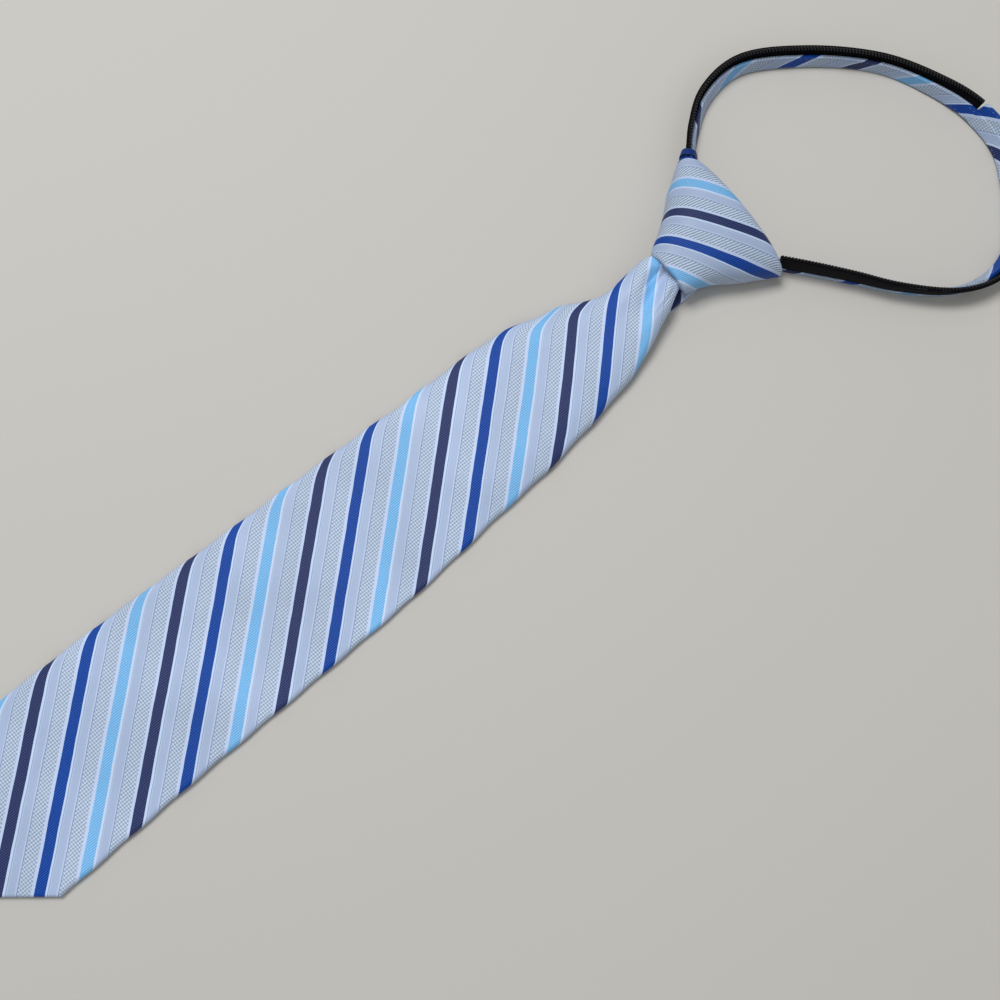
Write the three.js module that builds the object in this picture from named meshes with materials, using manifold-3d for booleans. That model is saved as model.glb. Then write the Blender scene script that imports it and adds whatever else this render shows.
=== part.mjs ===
// Pre-tied neck tie on a zipper loop, lying on a table, in millimetres.
// Y runs along the tie from the point of the blade (-Y) to the neck loop (+Y), Z is up from the table.
import * as THREE from 'three';
import { mergeVertices } from 'three/addons/utils/BufferGeometryUtils.js';
import Module from 'manifold-3d';

const wasm = await Module();
wasm.setup();

// Blade: a folded silk envelope over an interlining
const bladeLength = 335;
const bladeWidth = 73;
const bladeThickness = 3.6;
const pointHalfAngle = THREE.MathUtils.degToRad(40.5);
const neckWidth = 17;
const neckThickness = 8.4;
const mouthDepth = 8;

// Knot: one wrap of the same cloth round a firm core
const knotLength = 41;
const knotWidth = 66;
const knotDepth = 21;
const knotTopSlant = -0.05;
const knotTopBow = 0.12;
const knotUnderside = 4.2;

// Tab of cloth round the neck band at the upper left corner of the knot
const tabWidth = 7.6;
const tabHeight = 13.4;
const tabLength = 0.6;
const tabFoot = 0.1;

// Neck loop: a folded strip of cloth that stands on its edge, with zipper tape on its outer face
const loopReach = 112;
const loopSpread = 141;
const stripHeight = 6.2;
const backHeight = 11.5;
const stripThickness = 1.8;
const footWidth = 3.2;
const footThickness = 2.4;
const footEdge = 0.4;
const backLength = 53;
const widening = 4;
const leftTapeLength = 151;
const tapeHeight = 8.4;
const tapeThickness = 0.8;
const teethHeight = 2;
const teethThickness = 1.3;

// Tail: the closed stretch of the zipper that hangs behind the blade
const tailLength = 98;
const tailStripWidth = 6.6;
const tailThickness = 2.4;
const tailChainWidth = 4.6;
const tailChainThickness = 1.6;
const tailShift = 5;
const tailInsideKnot = 12;
const sliderWidth = 8.5;
const sliderLength = 11;
const sliderThickness = 2.6;

// Clearance between neighbouring pieces
const clearance = 0.3;

// Where things are, worked out from the sizes above, with the mouth of the knot at y = 0
const mouthY = 0;
const knotTopY = mouthY + knotLength;
const bladeCornerY = mouthY - bladeLength;
const neckUnderside = tailThickness + clearance + 2.3;

// Blade sections from inside the knot down to the corners of the point.
// along is a share of bladeLength, width and shift of bladeWidth; plump goes from the flat blade at 0
// to the gathered neck at 1, and rise is a share of the height at which the neck enters the knot.
const bladeSections = [
  { along: 0.000, width: 0.236, shift: 0.016, plump: 1.00, rise: 1.00 },
  { along: 0.012, width: 0.276, shift: 0.020, plump: 0.98, rise: 0.96 },
  { along: 0.030, width: 0.320, shift: 0.040, plump: 0.88, rise: 0.90 },
  { along: 0.054, width: 0.354, shift: 0.066, plump: 0.74, rise: 0.84 },
  { along: 0.078, width: 0.404, shift: 0.088, plump: 0.58, rise: 0.80 },
  { along: 0.099, width: 0.474, shift: 0.084, plump: 0.42, rise: 0.76 },
  { along: 0.125, width: 0.569, shift: 0.067, plump: 0.30, rise: 0.72 },
  { along: 0.160, width: 0.645, shift: 0.057, plump: 0.20, rise: 0.69 },
  { along: 0.205, width: 0.730, shift: 0.042, plump: 0.12, rise: 0.67 },
  { along: 0.270, width: 0.789, shift: 0.047, plump: 0.06, rise: 0.64 },
  { along: 0.345, width: 0.816, shift: 0.048, plump: 0.03, rise: 0.40 },
  { along: 0.420, width: 0.862, shift: 0.049, plump: 0.00, rise: 0.10 },
  { along: 0.500, width: 0.898, shift: 0.049, plump: 0.00, rise: 0.00 },
  { along: 0.640, width: 0.930, shift: 0.036, plump: 0.00, rise: 0.00 },
  { along: 0.800, width: 0.966, shift: 0.016, plump: 0.00, rise: 0.00 },
  { along: 1.000, width: 1.000, shift: 0.012, plump: 0.00, rise: 0.00 },
];

// Folds of the gathered blade below the knot. from and to are shares of bladeLength, across is the
// place of the fold as a share of the half width, spread its half width as the same share, and
// height a share of neckThickness, negative for a valley.
const bladeFolds = [
  { from: -0.01, to: 0.085, acrossStart: 0.05, acrossEnd: 0.22, spread: 0.26, height: -0.34 },
  { from: 0.00, to: 0.110, acrossStart: 0.52, acrossEnd: 0.62, spread: 0.24, height: 0.16 },
  { from: 0.00, to: 0.120, acrossStart: -0.46, acrossEnd: -0.50, spread: 0.26, height: 0.12 },
  { from: 0.06, to: 0.180, acrossStart: -0.94, acrossEnd: -0.70, spread: 0.16, height: -0.10 },
];

// Knot sections from the top edge to the mouth. along is a share of knotLength, left and right are
// shares of knotWidth from the axis, crest is a share of knotDepth and under of knotUnderside.
const knotSections = [
  { along: 0.000, left: 0.410, right: 0.420, crest: 0.60, under: 0.80 },
  { along: 0.015, left: 0.455, right: 0.472, crest: 0.72, under: 0.45 },
  { along: 0.045, left: 0.480, right: 0.490, crest: 0.82, under: 0.15 },
  { along: 0.100, left: 0.478, right: 0.476, crest: 0.90, under: 0.00 },
  { along: 0.200, left: 0.449, right: 0.447, crest: 0.96, under: 0.00 },
  { along: 0.320, left: 0.404, right: 0.409, crest: 1.00, under: 0.00 },
  { along: 0.450, left: 0.356, right: 0.368, crest: 1.00, under: 0.00 },
  { along: 0.580, left: 0.292, right: 0.317, crest: 0.98, under: 0.10 },
  { along: 0.710, left: 0.232, right: 0.265, crest: 0.94, under: 0.35 },
  { along: 0.830, left: 0.184, right: 0.231, crest: 0.89, under: 0.65 },
  { along: 0.930, left: 0.147, right: 0.213, crest: 0.84, under: 0.90 },
  { along: 1.000, left: 0.120, right: 0.203, crest: 0.80, under: 1.00 },
];

// Route of the lower edge of the neck band from the left corner of the knot round to the right.
// across is a share of loopSpread from the axis, along a share of loopReach above the knot,
// lean the angle in degrees by which the band tips outward.
const loopRoute = [
  { across: -0.201, along: 0.022, lean: 14 },
  { across: -0.255, along: 0.110, lean: 20 },
  { across: -0.308, along: 0.224, lean: 22 },
  { across: -0.321, along: 0.389, lean: 16 },
  { across: -0.226, along: 0.599, lean: 12 },
  { across: -0.066, along: 0.814, lean: 6 },
  { across: 0.089, along: 0.909, lean: 14 },
  { across: 0.233, along: 0.949, lean: 28 },
  { across: 0.353, along: 0.934, lean: 31 },
  { across: 0.464, along: 0.851, lean: 29 },
  { across: 0.549, along: 0.770, lean: 27 },
  { across: 0.601, along: 0.664, lean: 26 },
  { across: 0.610, along: 0.553, lean: 22 },
  { across: 0.574, along: 0.427, lean: 10 },
  { across: 0.464, along: 0.279, lean: 2 },
  { across: 0.357, along: 0.172, lean: -3 },
  { across: 0.255, along: 0.066, lean: -2 },
];
const bandInsideKnot = 17;

// Steps of the meshes
const bladeSteps = 44;
const bladePoints = 10;
const pointSteps = 6;
const knotSteps = 22;
const knotPoints = 36;
const loopSteps = 110;

const smooth = (value) => THREE.MathUtils.smoothstep(value, 0, 1);

// One column of a table, read between its rows along a smooth curve
function column(rows, key, name) {
  const points = rows.map((row) => new THREE.Vector2(row[key], row[name]));
  return (at) => {
    const last = points.length - 1;
    if (at <= points[0].x) return points[0].y;
    if (at >= points[last].x) return points[last].y;
    const next = points.findIndex((point) => point.x > at);
    const from = points[next - 1];
    const to = points[next];
    const before = points[Math.max(next - 2, 0)];
    const after = points[Math.min(next + 1, last)];
    const width = to.x - from.x;
    const slopeFrom = (to.y - before.y) / (to.x - before.x) * width;
    const slopeTo = (after.y - from.y) / (after.x - from.x) * width;
    const t = (at - from.x) / width;
    const rest = 1 - t;
    return from.y * rest * rest * (1 + 2 * t) + to.y * t * t * (3 - 2 * t)
      + slopeFrom * t * rest * rest - slopeTo * t * t * rest;
  };
}

// A closed skin over rings of equal count, with a fan over each end
function loft(rings) {
  const count = rings[0].length;
  const vertices = rings.flat();
  const faces = [];
  for (let ring = 0; ring < rings.length - 1; ring += 1) {
    for (let step = 0; step < count; step += 1) {
      const a = ring * count + step;
      const b = ring * count + (step + 1) % count;
      faces.push(a, b, b + count, a, b + count, a + count);
    }
  }
  for (const [ring, turned] of [[0, true], [rings.length - 1, false]]) {
    const middle = rings[ring].reduce((sum, point) => sum.add(point), new THREE.Vector3());
    vertices.push(middle.divideScalar(count));
    const centre = vertices.length - 1;
    for (let step = 0; step < count; step += 1) {
      const a = ring * count + step;
      const b = ring * count + (step + 1) % count;
      faces.push(...(turned ? [centre, b, a] : [centre, a, b]));
    }
  }
  const geometry = new THREE.BufferGeometry().setFromPoints(vertices);
  geometry.setIndex(faces);
  return facingOut(geometry);
}

// The same skin with its faces turned outward
function facingOut(geometry) {
  const place = geometry.getAttribute('position');
  const index = geometry.getIndex();
  const corner = (at) => new THREE.Vector3().fromBufferAttribute(place, index.getX(at));
  let volume = 0;
  for (let at = 0; at < index.count; at += 3) {
    volume += corner(at).dot(corner(at + 1).cross(corner(at + 2)));
  }
  if (volume < 0) {
    for (let at = 0; at < index.count; at += 3) {
      const second = index.getX(at + 1);
      index.setX(at + 1, index.getX(at + 2));
      index.setX(at + 2, second);
    }
  }
  return geometry;
}

function toSolid(geometry) {
  const bare = geometry.clone();
  bare.deleteAttribute('normal');
  bare.deleteAttribute('uv');
  const merged = mergeVertices(bare, 1e-5);
  const mesh = new wasm.Mesh({
    numProp: 3,
    vertProperties: new Float32Array(merged.getAttribute('position').array),
    triVerts: new Uint32Array(merged.getIndex().array),
  });
  return new wasm.Manifold(mesh);
}

function toGeometry(solid) {
  const mesh = solid.getMesh();
  const geometry = new THREE.BufferGeometry();
  geometry.setAttribute('position', new THREE.BufferAttribute(mesh.vertProperties, 3));
  geometry.setIndex(new THREE.BufferAttribute(mesh.triVerts, 1));
  return geometry;
}

// Blade: the half thickness at one place across a section, round at both edges
function edgeRound(across, half, thickness) {
  const radius = Math.min(half, thickness / 2);
  const past = Math.max(Math.abs(across) - (half - radius), 0) / radius;
  return thickness / 2 * Math.sqrt(Math.max(1 - past * past, 0));
}

function foldHeight(share, across) {
  let height = 0;
  for (const fold of bladeFolds) {
    const run = (share - fold.from) / (fold.to - fold.from);
    if (run <= 0 || run >= 1) continue;
    const place = THREE.MathUtils.lerp(fold.acrossStart, fold.acrossEnd, run);
    const away = (across - place) / fold.spread;
    const fade = smooth(Math.min(run * 6, (1 - run) * 1.6, 1));
    height += fold.height * neckThickness * fade * Math.exp(-away * away);
  }
  return height;
}

const bladeShape = {
  width: column(bladeSections, 'along', 'width'),
  shift: column(bladeSections, 'along', 'shift'),
  plump: column(bladeSections, 'along', 'plump'),
  rise: column(bladeSections, 'along', 'rise'),
};

// One ring of the blade; grow makes the larger ring that cuts the pocket in the knot
function bladeRing(share, halfWidth, y, grow = 0) {
  const plump = bladeShape.plump(share);
  const thickness = THREE.MathUtils.lerp(bladeThickness, neckThickness, plump) + 2 * grow;
  const half = halfWidth + grow;
  const lift = Math.max(bladeShape.rise(share), 0) * neckUnderside;
  const middle = bladeShape.shift(share) * bladeWidth;
  const top = [];
  const bottom = [];
  for (let step = -bladePoints; step <= bladePoints; step += 1) {
    const across = Math.sin(Math.PI / 2 * step / bladePoints);
    const x = half * across;
    const round = edgeRound(x, half, thickness);
    const droop = grow > 0 ? 0 : lift * (1 - plump) * across ** 4;
    const level = lift - grow + thickness / 2 - droop;
    const fold = grow > 0 ? 0 : foldHeight(share, across) * round * 2 / thickness;
    top.push(new THREE.Vector3(middle + x, y, level + round + fold));
    if (Math.abs(step) < bladePoints) bottom.push(new THREE.Vector3(middle + x, y, level - round));
  }
  return [...top, ...bottom.reverse()];
}

function bladeGeometry() {
  const rings = [bladeRing(0, neckWidth / 2, mouthY + mouthDepth)];
  for (let step = 0; step <= bladeSteps; step += 1) {
    const run = step / bladeSteps;
    const share = 0.35 * run + 0.65 * run * run;
    rings.push(bladeRing(share, neckHalf(share), mouthY - share * bladeLength));
  }
  const cornerHalf = bladeWidth / 2;
  const pointLength = cornerHalf / Math.tan(pointHalfAngle);
  const blunt = bladeThickness / 2 / cornerHalf;
  for (let step = 1; step <= pointSteps; step += 1) {
    const left = 1 - (1 - blunt) * step / pointSteps;
    rings.push(bladeRing(1, cornerHalf * left, bladeCornerY - pointLength * (1 - left)));
  }
  return loft(rings);
}

// The half width between the neck, which fits the knot, and the full blade
function neckHalf(share) {
  const free = bladeShape.width(share) * bladeWidth / 2;
  const gathered = bladeShape.width(0) * bladeWidth / 2;
  const fade = 1 - smooth(share / bladeSections[5].along);
  return free + (neckWidth / 2 - gathered) * fade;
}

// Knot: rings from the top edge to the mouth, flat where it lies and crowned on the front
const knotShape = {
  left: column(knotSections, 'along', 'left'),
  right: column(knotSections, 'along', 'right'),
  crest: column(knotSections, 'along', 'crest'),
  under: column(knotSections, 'along', 'under'),
};

function knotGeometry(grow = 0) {
  const rings = [];
  for (let step = 0; step <= knotSteps; step += 1) {
    const share = smoothEnds(step / knotSteps);
    const left = -knotShape.left(share) * knotWidth - grow;
    const right = knotShape.right(share) * knotWidth + grow;
    const crest = knotShape.crest(share) * knotDepth + grow;
    const under = Math.max(knotShape.under(share), 0) * knotUnderside - grow;
    const waist = under + (crest - under) * 0.36;
    const end = step === 0 ? grow : 0;
    const y = knotTopY - share * knotLength + end;
    const ring = [];
    for (let turn = 0; turn < knotPoints; turn += 1) {
      const angle = 2 * Math.PI * turn / knotPoints;
      const side = Math.sign(Math.cos(angle)) * Math.abs(Math.cos(angle)) ** 0.78;
      const lift = Math.abs(Math.sin(angle));
      const x = (left + right) / 2 + (right - left) / 2 * side;
      const z = Math.sin(angle) > 0
        ? waist + (crest - waist) * lift ** 0.82
        : waist - (waist - under) * lift ** 0.5;
      const top = knotTopSlant * x - knotTopBow * x * x / knotWidth;
      ring.push(new THREE.Vector3(x, y + top * (1 - share), z));
    }
    rings.push(ring);
  }
  return loft(rings);
}

function smoothEnds(run) {
  return 0.6 * run + 0.4 * smooth(run);
}

// A straight bar with square ends along Y
function bar(width, length, height, x, y, z) {
  const geometry = new THREE.BoxGeometry(width, length, height);
  return geometry.translate(x, y, z);
}

// The stretch of tail and slider inside the back of the knot
function tailChannel() {
  const width = 2 * tailStripWidth + tailChainWidth + 4 * clearance;
  const depth = tailInsideKnot + clearance;
  const height = tailThickness + clearance;
  const open = 2;
  const channel = bar(width, depth + open, 2 * height, tailShift, mouthY + (depth - open) / 2, 0);
  const seatLength = sliderLength + 2 * clearance;
  const seat = bar(
    sliderWidth + 2 * clearance, seatLength + open, 2 * (sliderThickness + 2 * clearance),
    tailShift, mouthY + tailInsideKnot + (seatLength - open) / 2, 0,
  );
  return toSolid(channel).add(toSolid(seat));
}

function bladePocket() {
  const rings = [];
  for (const y of [mouthY - 2, mouthY + mouthDepth + clearance]) {
    rings.push(bladeRing(0, neckWidth / 2, y, clearance));
  }
  return toSolid(loft(rings));
}

// Neck loop: the route of its lower edge, with the lean carried as the third coordinate
function loopCurve() {
  const points = loopRoute.map((row) => new THREE.Vector3(
    row.across * loopSpread, knotTopY + row.along * loopReach, row.lean,
  ));
  const inward = (end, next) => {
    const way = new THREE.Vector3(end.x - next.x, end.y - next.y, 0).normalize();
    return way.multiplyScalar(bandInsideKnot).add(end);
  };
  const last = points.length - 1;
  const start = inward(points[0], points[1]);
  const finish = inward(points[last], points[last - 1]);
  return new THREE.CatmullRomCurve3([start, ...points, finish], false, 'centripetal');
}

// The route as stations, each with its place, its outward direction, its lean and its run
function loopStations() {
  const curve = loopCurve();
  const stations = [];
  let run = 0;
  let previous = null;
  const flat = (at) => {
    const point = curve.getPoint(at);
    return new THREE.Vector2(point.x, point.y);
  };
  const fine = 1e-3;
  for (let step = 0; step <= loopSteps; step += 1) {
    const at = step / loopSteps;
    const place = flat(at);
    const way = flat(Math.min(at + fine, 1)).sub(flat(Math.max(at - fine, 0))).normalize();
    if (previous) run += place.distanceTo(previous);
    previous = place;
    stations.push({
      place,
      out: new THREE.Vector2(-way.y, way.x),
      lean: THREE.MathUtils.degToRad(curve.getPoint(at).z),
      run,
    });
  }
  return stations;
}

const stations = loopStations();
const loopRun = stations[stations.length - 1].run;
const leftTapeEnd = bandInsideKnot + leftTapeLength;
const rightTapeStart = leftTapeEnd + backLength;

// A point of the band at one station: out from its inner face, up from its lower edge
function bandPoint(station, out, up) {
  const sine = Math.sin(station.lean);
  const cosine = Math.cos(station.lean);
  const lowest = Math.max(0, bandFoot(station.run) * sine);
  const away = out * cosine + up * sine;
  return new THREE.Vector3(
    station.place.x + station.out.x * away,
    station.place.y + station.out.y * away,
    up * cosine - out * sine + lowest,
  );
}

// A strip along the band between two runs, whose section is a list of [out, up] at each station
function strip(from, to, section) {
  const between = stations.filter((station) => station.run > from + 1 && station.run < to - 1);
  const chosen = [stationAt(from), ...between, stationAt(to)];
  return loft(chosen.map((station) => section(station.run).map(
    ([out, up]) => bandPoint(station, out, up),
  )));
}

function stationAt(run) {
  const next = Math.max(1, stations.findIndex((station) => station.run >= run - 1e-6));
  const a = stations[next - 1];
  const b = stations[next];
  const t = (run - a.run) / (b.run - a.run);
  return {
    place: a.place.clone().lerp(b.place, t),
    out: a.out.clone().lerp(b.out, t).normalize(),
    lean: THREE.MathUtils.lerp(a.lean, b.lean, t),
    run,
  };
}

// A rectangle with its corners cut, as [out, up] pairs
function softRectangle(innerOut, outerOut, low, high, corner) {
  return [
    [innerOut + corner, low], [outerOut - corner, low],
    [outerOut, low + corner], [outerOut, high - corner],
    [outerOut - corner, high], [innerOut + corner, high],
    [innerOut, high - corner], [innerOut, low + corner],
  ];
}

// How far the plain stretch at the back of the neck has opened out, from 0 to 1
function plainShare(run) {
  const opened = smooth((run - leftTapeEnd - clearance) / widening);
  const closed = smooth((rightTapeStart - clearance - run) / widening);
  return Math.min(opened, closed);
}

function bandHeight(run) {
  return THREE.MathUtils.lerp(stripHeight, backHeight, plainShare(run));
}

// The foot that the strip turns out under the tape; the plain stretch has next to none
function bandFoot(run) {
  return THREE.MathUtils.lerp(footWidth, stripThickness + footEdge / 2, plainShare(run));
}

function neckBand() {
  const fold = 0.6;
  return strip(0, loopRun, (run) => {
    const foot = bandFoot(run);
    const high = bandHeight(run);
    return [
      [fold, 0], [foot - footEdge, 0], [foot, footEdge],
      [foot, footThickness - footEdge], [foot - footEdge, footThickness],
      [stripThickness, footThickness + footEdge], [stripThickness, high - fold],
      [stripThickness - fold, high], [fold, high], [0, high - fold], [0, fold],
    ];
  });
}

const tapeInner = stripThickness + clearance;
const tapeOuter = tapeInner + tapeThickness;
const tapeTop = backHeight - 0.4;

function zipperTape(from, to) {
  const low = tapeTop - tapeHeight;
  return strip(from, to, () => [
    [tapeInner, low], [tapeOuter, low], [tapeOuter, tapeTop], [tapeInner, tapeTop],
  ]);
}

function zipperTeeth(from, to) {
  const outer = tapeInner - clearance;
  const high = backHeight;
  return strip(from, to, () => softRectangle(
    outer - teethThickness, outer, high - teethHeight, high, teethThickness / 4,
  ));
}

// Tab round the band where it leaves the knot, open for the band to pass
function tabSleeve() {
  const from = bandInsideKnot - 3;
  const to = bandInsideKnot + tabLength;
  const middle = tapeOuter / 2;
  const sides = 20;
  return strip(from, to, (run) => {
    const slim = 1 - 0.08 * smooth((run - from) / (to - from));
    const ring = [];
    for (let turn = 0; turn < sides; turn += 1) {
      const angle = 2 * Math.PI * turn / sides;
      const rounded = (value) => Math.sign(value) * Math.abs(value) ** 0.6;
      ring.push([
        middle + tabWidth / 2 * slim * rounded(Math.cos(angle)),
        tabFoot + tabHeight / 2 + tabHeight / 2 * slim * rounded(Math.sin(angle)),
      ]);
    }
    return ring;
  });
}

// The whole section of band, tape and teeth, with clearance all round
function bandEnvelope(from, to) {
  return strip(from, to, () => [
    [-clearance, -clearance - 2], [footWidth + clearance, -clearance - 2],
    [footWidth + clearance, backHeight + clearance], [-clearance, backHeight + clearance],
  ]);
}

const silk = new THREE.MeshStandardMaterial({ color: 0xbfc6dc, roughness: 0.5, metalness: 0 });
const silkDark = new THREE.MeshStandardMaterial({ color: 0x3a4788, roughness: 0.5, metalness: 0 });
const tape = new THREE.MeshStandardMaterial({ color: 0x0c0c10, roughness: 0.85, metalness: 0 });
const nylon = new THREE.MeshStandardMaterial({ color: 0x101014, roughness: 0.45, metalness: 0 });

const tie = new THREE.Group();

function addPiece(name, geometry, material) {
  const mesh = new THREE.Mesh(geometry, material);
  mesh.name = name;
  tie.add(mesh);
}

const knotClear = toSolid(knotGeometry(clearance));
const knot = toSolid(knotGeometry()).subtract(bladePocket()).subtract(tailChannel());
addPiece('blade', bladeGeometry(), silk);
addPiece('knot_wrap', toGeometry(knot), silk);

const trimmed = (geometry) => toGeometry(toSolid(geometry).subtract(knotClear));
const bandTab = toSolid(tabSleeve())
  .subtract(toSolid(bandEnvelope(0, leftTapeEnd)))
  .subtract(knotClear);
addPiece('knot_tab', toGeometry(bandTab), silkDark);
addPiece('neck_band', trimmed(neckBand()), silk);
addPiece('zipper_tape_left', trimmed(zipperTape(0, leftTapeEnd)), tape);
addPiece('zipper_tape_right', trimmed(zipperTape(rightTapeStart, loopRun)), tape);
addPiece('zipper_teeth_left', trimmed(zipperTeeth(0, leftTapeEnd)), nylon);
addPiece('zipper_teeth_right', trimmed(zipperTeeth(rightTapeStart, loopRun)), nylon);

const tailMiddle = mouthY + tailInsideKnot - tailLength / 2;
const tailSide = (tailChainWidth + tailStripWidth) / 2 + clearance;
for (const [name, side] of [['tail_strip_left', -1], ['tail_strip_right', 1]]) {
  addPiece(name, bar(
    tailStripWidth, tailLength, tailThickness, tailShift + side * tailSide, tailMiddle, tailThickness / 2,
  ), silk);
}
addPiece('tail_zipper', bar(
  tailChainWidth, tailLength, tailChainThickness, tailShift, tailMiddle, tailThickness / 2,
), nylon);
addPiece('zipper_slider', bar(
  sliderWidth, sliderLength, sliderThickness,
  tailShift, mouthY + tailInsideKnot + clearance + sliderLength / 2, clearance + sliderThickness / 2,
), nylon);

// The origin is the middle of the whole tie, on the table
const box = new THREE.Box3().setFromObject(tie);
const centre = box.getCenter(new THREE.Vector3());
tie.position.set(-centre.x, -centre.y, -box.min.z);
tie.updateMatrixWorld(true);

export default tie;
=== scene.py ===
import math

import bpy
import numpy as np
from mathutils import Matrix, Vector


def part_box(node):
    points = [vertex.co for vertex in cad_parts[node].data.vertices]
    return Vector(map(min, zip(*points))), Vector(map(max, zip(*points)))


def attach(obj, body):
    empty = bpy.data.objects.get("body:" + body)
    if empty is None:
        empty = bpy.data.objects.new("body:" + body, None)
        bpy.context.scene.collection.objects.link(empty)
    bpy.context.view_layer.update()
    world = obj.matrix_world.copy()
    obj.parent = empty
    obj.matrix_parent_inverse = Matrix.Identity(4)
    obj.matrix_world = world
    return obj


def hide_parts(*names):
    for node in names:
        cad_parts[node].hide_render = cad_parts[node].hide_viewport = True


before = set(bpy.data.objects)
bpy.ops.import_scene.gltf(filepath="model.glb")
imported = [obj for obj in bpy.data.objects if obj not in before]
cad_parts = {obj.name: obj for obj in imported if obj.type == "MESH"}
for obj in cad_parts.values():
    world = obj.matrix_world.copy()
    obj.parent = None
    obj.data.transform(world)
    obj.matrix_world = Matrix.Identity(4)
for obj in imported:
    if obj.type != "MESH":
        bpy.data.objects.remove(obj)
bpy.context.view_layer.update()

# Where the tie lies
# Shapes are worked out in millimetres on the tie's own axes, x across the blade, y along it with 0
# at the mouth of the knot, z up from the table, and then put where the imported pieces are.
tail_shift = 5.0
knot_corner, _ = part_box("knot_wrap")
tail_left, tail_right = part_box("tail_zipper")
mouth = np.array([(tail_left.x + tail_right.x) / 2 - tail_shift / 1000, knot_corner.y, 0.0])


def in_frame(points):
    return np.asarray(points, float) / 1000 + mouth


# Camera
# Almost straight above the tie, whose axis rises to the right of the picture at 40.5 degrees.
axis_in_picture = math.radians(40.5)
tilt_right, tilt_up = 0.043, 0.168
camera_distance = 0.480
aim = in_frame((28.6, -112.6, 0.0))


def from_picture(right, up, height):
    """A direction given by the picture's right and up on the table, turned to the tie's axes."""
    sine, cosine = math.sin(axis_in_picture), math.cos(axis_in_picture)
    return Vector((right * sine - up * cosine, right * cosine + up * sine, height))


def add_object(name, data):
    thing = bpy.data.objects.new(name, data)
    bpy.context.scene.collection.objects.link(thing)
    return thing


look = from_picture(tilt_right, tilt_up, -1.0).normalized()
picture_up = from_picture(0.0, 1.0, 0.0)
picture_up = (picture_up - look * picture_up.dot(look)).normalized()
picture_right = look.cross(picture_up)
camera_data = bpy.data.cameras.new("camera")
camera_data.lens = 43.2
camera_data.sensor_width = 36.0
camera_data.clip_start = 0.01
camera = add_object("camera", camera_data)
turn = Matrix((picture_right, picture_up, -look)).transposed()
camera.matrix_world = Matrix.Translation(Vector(aim) - look * camera_distance) @ turn.to_4x4()
bpy.context.scene.camera = camera

# Light and floor
# One wide soft lamp from the upper left of the picture, a faint one from the other side and an
# even pale room light, over a plain pale floor.
bpy.context.scene.view_settings.view_transform = "Standard"


def soft_lamp(name, direction, distance, size, power):
    data = bpy.data.lights.new(name, "AREA")
    data.size = size
    data.energy = power
    direction = direction.normalized()
    place = Matrix.Translation(Vector(aim) + direction * distance)
    add_object(name, data).matrix_world = place @ direction.to_track_quat("Z", "Y").to_matrix().to_4x4()


soft_lamp("window", from_picture(-0.30, 0.40, 1.10), 1.5, 0.55, 14.6)
soft_lamp("fill", from_picture(0.8, -0.3, 1.0), 1.6, 1.2, 1.5)
room = bpy.data.worlds.new("room")
room.use_nodes = True
room.node_tree.nodes["Background"].inputs["Color"].default_value = (0.93, 0.96, 1.0, 1.0)
room.node_tree.nodes["Background"].inputs["Strength"].default_value = 0.38
bpy.context.scene.world = room

floor_mesh = bpy.data.meshes.new("floor")
reach = 3.0
floor_mesh.from_pydata(
    [(-reach, -reach, 0), (reach, -reach, 0), (reach, reach, 0), (-reach, reach, 0)], [], [(0, 1, 2, 3)]
)
floor = add_object("floor", floor_mesh)
floor.location.z = -0.00005
floor_paint = bpy.data.materials.new("plain pale floor")
floor_paint.use_nodes = True
floor_paint.node_tree.nodes["Principled BSDF"].inputs["Base Color"].default_value = (0.56, 0.54, 0.50, 1.0)
floor_paint.node_tree.nodes["Principled BSDF"].inputs["Roughness"].default_value = 0.85
floor_mesh.materials.append(floor_paint)

# Blade
# The wide blade of the tie: striped silk folded round a soft interlining, with rolled edges, the
# two flaps slip-stitched together down the back, and gathered where it goes into the knot.
blade_length = 335.0
blade_width = 73.0
blade_thickness = 3.6
point_half_angle = math.radians(40.5)
neck_width = 17.0
neck_thickness = 8.4
neck_underside = 5.0
mouth_depth = 8.0
clearance = 0.3

# The woven pattern. A repeat is three stripes, and after each come the same lines and bands. Widths
# are in millimetres across the stripe, colours as on a paint card, 0 to 255, first where the
# weave dips and then where it stands up, and the last word is the weave.
stripe_width = 4.1
coloured_stripes = [
    ("slate", (18, 28, 68), (60, 74, 126)),
    ("royal", (2, 38, 126), (22, 90, 186)),
    ("sky", (100, 168, 228), (146, 206, 248)),
]
pale_bands = [
    ("bright line", 0.85, (187, 208, 243), (215, 231, 251), "plain"),
    ("dim line", 0.30, (144, 166, 203), (154, 176, 211), "plain"),
    ("soft line", 0.35, (179, 197, 227), (193, 209, 237), "plain"),
    ("satin", 2.75, (165, 183, 214), (179, 195, 224), "satin"),
    ("light line", 0.50, (181, 199, 229), (199, 215, 241), "plain"),
    ("pin line", 0.35, (131, 151, 186), (143, 163, 196), "plain"),
    ("birdseye", 4.90, (125, 147, 176), (214, 227, 245), "eye"),
    ("pale line", 1.233, (187, 205, 239), (206, 222, 249), "plain"),
]
stripe_bands = []
for stripe_name, dip, crest in coloured_stripes:
    stripe_bands.append((stripe_name, stripe_width, dip, crest, "twill"))
    stripe_bands += pale_bands
stripe_repeat = sum(band[1] for band in stripe_bands)
first_stripe_at = 11.0
weave_masks = {"twill": (1, 0, 0), "plain": (0, 0, 0), "satin": (0, 0, 1), "eye": (0, 1, 0)}


def paint(red, green, blue):
    """A paint card colour as the linear colour that a socket holds."""
    share = np.array([red, green, blue]) / 255
    linear = np.where(share <= 0.04045, share / 12.92, ((share + 0.055) / 1.055) ** 2.4)
    return (*[float(value) for value in linear], 1.0)


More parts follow.
